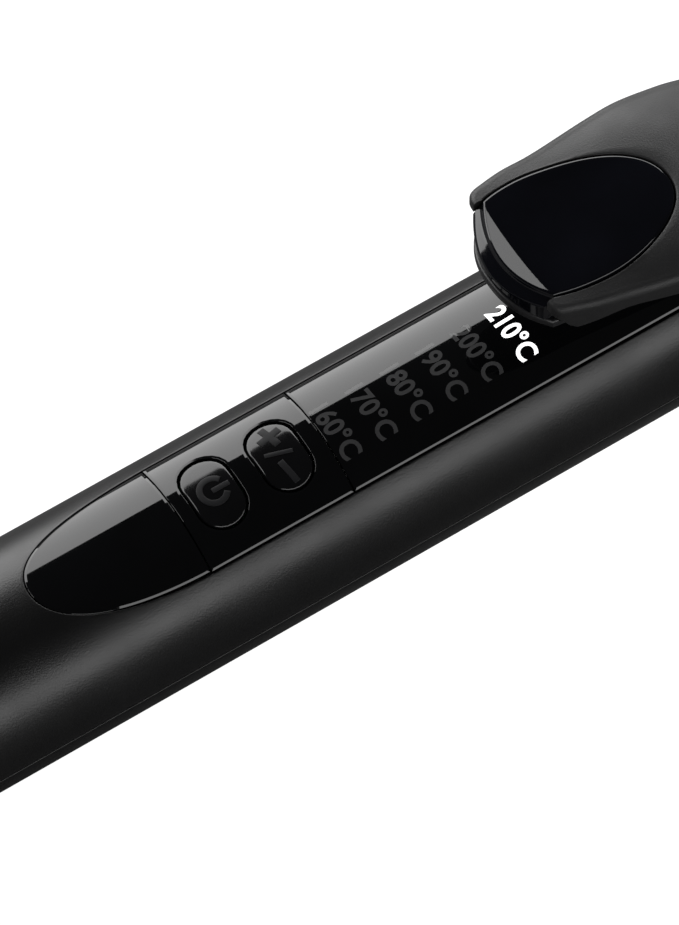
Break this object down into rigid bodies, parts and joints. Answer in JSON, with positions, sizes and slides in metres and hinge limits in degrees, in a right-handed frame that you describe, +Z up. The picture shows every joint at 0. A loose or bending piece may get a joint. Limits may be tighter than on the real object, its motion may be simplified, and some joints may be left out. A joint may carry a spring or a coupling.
{
  "type": "curling tong",
  "caption": "Hair curling tong with a sprung clip lever, gloss control panel with temperature window, power button and rocker, heated barrel and folding stand.",
  "frame": {"origin": "on the table, under the middle of the tool's box, with the tool leaning on its folding stand", "axes": "+X towards the barrel tip, level with the table; the tool axis rises 6 degrees above +X. +Z up, out of the display panel. +Y to the left of the handle as seen from its rear."},
  "size_m": [0.359, 0.036, 0.0634],
  "materials": {
    "shell_plastic": "satin matte, fine moulded texture",
    "panel_gloss": "piano gloss black",
    "button_gloss": "gloss black with moulded icons",
    "lever_plastic": "matte charcoal, fine texture",
    "pad_gloss": "piano gloss black",
    "liner_plastic": "satin",
    "neck_plastic": "heat resistant, matte",
    "collar_plastic": "satin",
    "barrel_coating": "dark ceramic coating, semi gloss",
    "clip_coating": "dark ceramic coating, semi gloss",
    "tip_plastic": "heat resistant, matte",
    "screw_steel": "blackened zinc",
    "pin_steel": "ground",
    "spring_steel": "drawn wire",
    "rivet_steel": "plain",
    "stand_steel": "black powder coat",
    "foot_rubber": "soft silicone",
    "swivel_rubber": "satin moulded",
    "contact_brass": "plain",
    "inner_plastic": "natural",
    "board_laminate": "green solder mask",
    "switch_steel": "tinned",
    "led_epoxy": "clear epoxy",
    "diffuser_white": "white, opaque",
    "chip_epoxy": "moulded epoxy",
    "capacitor_case": "yellow case",
    "terminal_green": "green",
    "fuse_case": "plated",
    "wire_insulation": "PVC",
    "wire_sleeve": "glass fibre sleeve",
    "phenolic": "phenolic",
    "core_aluminium": "extruded",
    "ptc_ceramic": "fired",
    "thermistor_glass": "glass bead",
    "legend_grey": "printed behind the window, unlit",
    "legend_lit": "printed behind the window, lit",
    "icon_gloss": "moulded icon"
  },
  "bodies": {
    "handle": {"upper_shell": "shell_plastic", "lower_shell": "shell_plastic", "shell_screws": "screw_steel", "rear_trim": "panel_gloss", "button_bezel": "panel_gloss", "display_window": "panel_gloss", "rocker_cradle": "inner_plastic", "control_board": "board_laminate", "board_screws": "screw_steel", "tact_switches": "switch_steel", "indicator_leds": "led_epoxy", "light_guide": "diffuser_white", "triac": "chip_epoxy", "film_capacitor": "capacitor_case", "terminal_block": "terminal_green", "thermal_fuse": "fuse_case", "supply_leads": "wire_insulation", "neck_block": "neck_plastic", "lever_pivot_pin": "pin_steel", "stand_pivot_pins": "pin_steel", "lever_spring": "spring_steel", "collar_ring": "collar_plastic", "barrel_sleeve": "phenolic", "barrel_tube": "barrel_coating", "heater_core_upper": "core_aluminium", "heater_core_lower": "core_aluminium", "ptc_elements": "ptc_ceramic", "thermistor": "thermistor_glass", "heater_leads": "wire_sleeve", "cool_tip": "tip_plastic", "tip_screw": "screw_steel", "contact_brushes": "contact_brass"},
    "power_button": {"power_button": "button_gloss"},
    "temperature_rocker": {"temperature_rocker": "button_gloss"},
    "lever": {"lever_frame": "lever_plastic", "thumb_pad": "pad_gloss", "lever_liner": "liner_plastic", "clip_plate": "clip_coating", "clip_rivets": "rivet_steel"},
    "stand": {"folding_stand": "stand_steel", "stand_foot_pads": "foot_rubber"},
    "cord_swivel": {"swivel_collar": "swivel_rubber", "contact_rings": "contact_brass"}
  },
  "joints": [
    {"name": "lever_pivot", "type": "hinge", "parent": "handle", "child": "lever", "pos_m": [0.01905, 0, 0.04175], "axis": [0, -1, 0], "range_deg": [0, 8.5], "stiffness_Nm_per_rad": 0.8, "springref_deg": -14.32, "deforming": ["lever_spring"]},
    {"name": "power_press", "type": "slide", "parent": "handle", "child": "power_button", "axis": [0.1045, 0, -0.9945], "range_m": [0, 0.0005], "stiffness_N_per_m": 3000, "springref_m": -0.0001},
    {"name": "rocker_tilt", "type": "hinge", "parent": "handle", "child": "temperature_rocker", "pos_m": [-0.08094, 0, 0.03446], "axis": [0.9945, 0, 0.1045], "range_deg": [-3, 3], "stiffness_Nm_per_rad": 0.08},
    {"name": "stand_fold", "type": "hinge", "parent": "handle", "child": "stand", "pos_m": [0.03245, 0, 0.02908], "axis": [0, -1, 0], "range_deg": [0, 68]},
    {"name": "cord_swivel_turn", "type": "hinge", "parent": "handle", "child": "cord_swivel", "pos_m": [-0.16201, 0, 0.01367], "axis": [0.9945, 0, 0.1045], "continuous": true}
  ]
}
